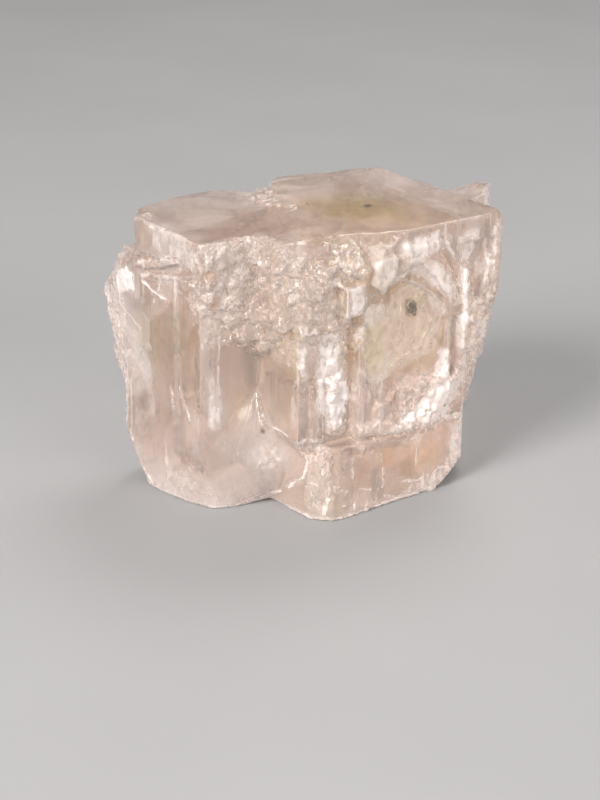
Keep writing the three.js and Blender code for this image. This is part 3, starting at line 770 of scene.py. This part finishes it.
# ---- Materials -----------------------------------------------------------------------------------------
class Nodes:
    """A short way to build a node tree."""

    def __init__(self, name):
        self.material = bpy.data.materials.new(name)
        self.material.use_nodes = True
        self.tree = self.material.node_tree
        self.tree.nodes.clear()

    def add(self, kind, inputs=None, **settings):
        node = self.tree.nodes.new(kind)
        for key, value in settings.items():
            setattr(node, key, value)
        for key, value in (inputs or {}).items():
            if isinstance(value, bpy.types.NodeSocket):
                self.tree.links.new(value, node.inputs[key])
            else:
                node.inputs[key].default_value = value
        return node

    def mix(self, factor, a, b):
        node = self.add("ShaderNodeMix", data_type="RGBA")
        for socket, value in zip((node.inputs[0], node.inputs[6], node.inputs[7]), (factor, a, b)):
            if isinstance(value, bpy.types.NodeSocket):
                self.tree.links.new(value, socket)
            else:
                socket.default_value = value
        return node.outputs[2]

    def stored(self, name, output="Fac"):
        """What the mesh keeps at its points under this name."""
        return self.add("ShaderNodeAttribute", attribute_name=name).outputs[output]

    def noise(self, where, scale, detail, roughness=0.5):
        settings = {"Vector": where, "Scale": scale, "Detail": detail, "Roughness": roughness}
        return self.add("ShaderNodeTexNoise", settings).outputs[0]

    def math(self, operation, a, b):
        return self.add("ShaderNodeMath", {0: a, 1: b}, operation=operation).outputs[0]

    def output(self, shader, volume=None):
        out = self.add("ShaderNodeOutputMaterial")
        self.tree.links.new(shader.outputs[0], out.inputs["Surface"])
        if volume:
            self.tree.links.new(volume.outputs[0], out.inputs["Volume"])

    def scaled(self, value, low, high, out_low, out_high):
        node = self.add(
            "ShaderNodeMapRange",
            {"Value": value, "From Min": low, "From Max": high, "To Min": out_low, "To Max": out_high},
            clamp=True,
        )
        return node.outputs[0]


def crystal_axes(t):
    """Texture coordinates turned back so that they lie along the crystals' edges, in metres."""
    where = t.add("ShaderNodeTexCoord").outputs["Object"]
    return t.add("ShaderNodeMapping", {"Vector": where, "Rotation": (0, 0, -TURN)}).outputs[0]


def fluorite_look():
    t = Nodes("clear_fluorite_look")
    where = crystal_axes(t)
    frost_and_glint, crust, milk = t.stored("frost_and_glint"), t.stored("crust"), t.stored("milk")
    grain = t.noise(where, 1400.0, 4.0, 0.6)
    cloud = t.noise(where, 500.0, 3.0)
    cubes = t.add("ShaderNodeTexVoronoi", {"Vector": where, "Scale": 1100.0}, distance="CHEBYCHEV")
    # Painted sparkle: random cube cells on the crust are made whiter, standing in for glints.
    painted_sparkle = t.scaled(t.math("MULTIPLY", crust, cubes.outputs["Color"]), 0.72, 1, 0, 0.4)
    white = t.math("ADD", t.math("MULTIPLY", frost_and_glint, t.scaled(cloud, 0.3, 0.7, 0.75, 1.25)), painted_sparkle)
    colour = t.mix(t.scaled(white, 0.1, 1, 0, 1), t.stored("tone", "Color"), (*WHITE, 1))
    rough = t.math("MAXIMUM", t.scaled(white, 0, 1, 0.03, 0.45), t.scaled(milk, 0, 1, 0, 0.3))
    clear = t.math("MINIMUM", t.scaled(white, 0, 1, 0.93, 0.3), t.scaled(milk, 0, 1, 0.93, 0.55))
    rubbed = t.math("MULTIPLY", grain, t.scaled(white, 0, 0.6, 0.35, 1.3))
    bump = t.add("ShaderNodeBump", {"Height": rubbed, "Strength": 0.25, "Distance": 0.0002}).outputs[0]
    steps = t.math("MULTIPLY", crust, cubes.outputs["Distance"])
    bump = t.add("ShaderNodeBump", {"Height": steps, "Strength": 0.4, "Distance": 0.0004, "Normal": bump})
    shader = t.add(
        "ShaderNodeBsdfPrincipled",
        {
            "Base Color": colour,
            "Roughness": rough,
            "Transmission Weight": clear,
            "IOR": FLUORITE_IOR,
            "Normal": bump.outputs[0],
        },
    )
    soak = {"Color": FLUORITE_SOAK, "Density": FLUORITE_SOAK_DENSITY}
    t.output(shader, t.add("ShaderNodeVolumeAbsorption", soak))
    return t.material


def yellow_zone_look():
    """Clear, with no edge of its own: only what it soaks up shows."""
    t = Nodes("yellow_zone_look")
    cloud = t.scaled(t.noise(crystal_axes(t), 200.0, 3.0), 0.3, 0.7, 0, 1)
    shader = t.add(
        "ShaderNodeBsdfPrincipled",
        {
            "Base Color": t.mix(cloud, (0.99, 0.97, 0.9, 1), (0.97, 0.94, 0.83, 1)),
            "Roughness": 0.0,
            "Transmission Weight": 1.0,
            "IOR": 1.0,
        },
    )
    soak = {"Color": ZONE_SOAK, "Density": ZONE_SOAK_DENSITY}
    t.output(shader, t.add("ShaderNodeVolumeAbsorption", soak))
    return t.material


def inclusion_look():
    t = Nodes("inclusion_look")
    cloud = t.scaled(t.noise(crystal_axes(t), 2500.0, 3.0), 0.35, 0.65, 0, 1)
    # The lighter grey flecks on the dark inclusion are dim painted glints.
    colour = t.mix(cloud, (0.01, 0.01, 0.011, 1), (0.16, 0.155, 0.15, 1))
    t.output(t.add("ShaderNodeBsdfPrincipled", {"Base Color": colour, "Roughness": 0.4}))
    return t.material


def floor_look():
    t = Nodes("floor_look")
    where = t.add("ShaderNodeTexCoord").outputs["Object"]
    cloud = t.scaled(t.noise(where, 14.0, 2.0), 0.3, 0.7, 0, 1)
    colour = t.mix(cloud, (0.29, 0.29, 0.295, 1), (0.305, 0.305, 0.31, 1))
    t.output(t.add("ShaderNodeBsdfPrincipled", {"Base Color": colour, "Roughness": 0.7}))
    return t.material


# ---- Pieces --------------------------------------------------------------------------------------------
def added(name, mesh, material):
    piece = bpy.data.objects.new(name, mesh)
    bpy.context.scene.collection.objects.link(piece)
    mesh.materials.append(material)
    return piece


def riding(name, mesh, material):
    """A piece of the display model, which moves with the specimen's one body."""
    piece = added(name, mesh, material)
    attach(piece, "root")
    return piece


def fluorite():
    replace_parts(riding("fluorite", fluorite_mesh(), fluorite_look()), "fluorite_crystals")


def yellow_zone():
    riding("yellow_zone", lump_mesh("yellow_zone", *YELLOW_ZONE, 71), yellow_zone_look())


def inclusion():
    riding("inclusion", lump_mesh("inclusion", *INCLUSION, 73, 0.6, 3), inclusion_look())


def floor():
    mesh = bpy.data.meshes.new("floor")
    bm = bmesh.new()
    bmesh.ops.create_circle(bm, cap_ends=True, radius=3, segments=64)
    bmesh.ops.translate(bm, vec=(0, 0, -FLOOR_GAP), verts=bm.verts)
    bm.to_mesh(mesh)
    bm.free()
    added("floor", mesh, floor_look())


# ---- Light and camera ----------------------------------------------------------------------------------
def soft_light(name, where, size, power, colour):
    lamp = bpy.data.lights.new(name, "AREA")
    lamp.shape, lamp.size, lamp.energy, lamp.color = "DISK", size, power, colour
    piece = bpy.data.objects.new(name, lamp)
    piece.location = where
    piece.rotation_mode = "QUATERNION"
    piece.rotation_quaternion = (Vector(LIT_POINT) - Vector(where)).to_track_quat("-Z", "Y")
    bpy.context.scene.collection.objects.link(piece)


def room():
    """A pale room, brighter overhead than round the sides."""
    world = bpy.data.worlds.new("studio")
    world.use_nodes = True
    tree = world.node_tree
    where = tree.nodes.new("ShaderNodeTexCoord")
    split = tree.nodes.new("ShaderNodeSeparateXYZ")
    height = tree.nodes.new("ShaderNodeMapRange")
    spans = {"From Min": 0.1, "From Max": 0.9, "To Min": ROOM_LOW, "To Max": ROOM_HIGH}
    for name, value in spans.items():
        height.inputs[name].default_value = value
    tree.links.new(where.outputs["Generated"], split.inputs[0])
    tree.links.new(split.outputs[2], height.inputs["Value"])
    tree.links.new(height.outputs[0], tree.nodes["Background"].inputs[1])
    tree.nodes["Background"].inputs[0].default_value = ROOM_COLOUR
    bpy.context.scene.world = world


def camera():
    data = bpy.data.cameras.new("camera")
    data.lens, data.sensor_width, data.sensor_fit = CAMERA_LENS, CAMERA_SENSOR, "AUTO"
    data.clip_start, data.clip_end = 0.01, 20
    piece = bpy.data.objects.new("camera", data)
    turned = Matrix.Rotation(CAMERA_TILT, 4, "X") @ Matrix.Rotation(CAMERA_ROLL, 4, "Z")
    piece.matrix_world = Matrix.Translation(CAMERA_AT) @ turned
    bpy.context.scene.collection.objects.link(piece)
    bpy.context.scene.camera = piece


fluorite()
yellow_zone()
inclusion()
floor()
room()
for settings in LIGHTS:
    soft_light(*settings)
camera()
bpy.context.scene.view_settings.view_transform = "Standard"
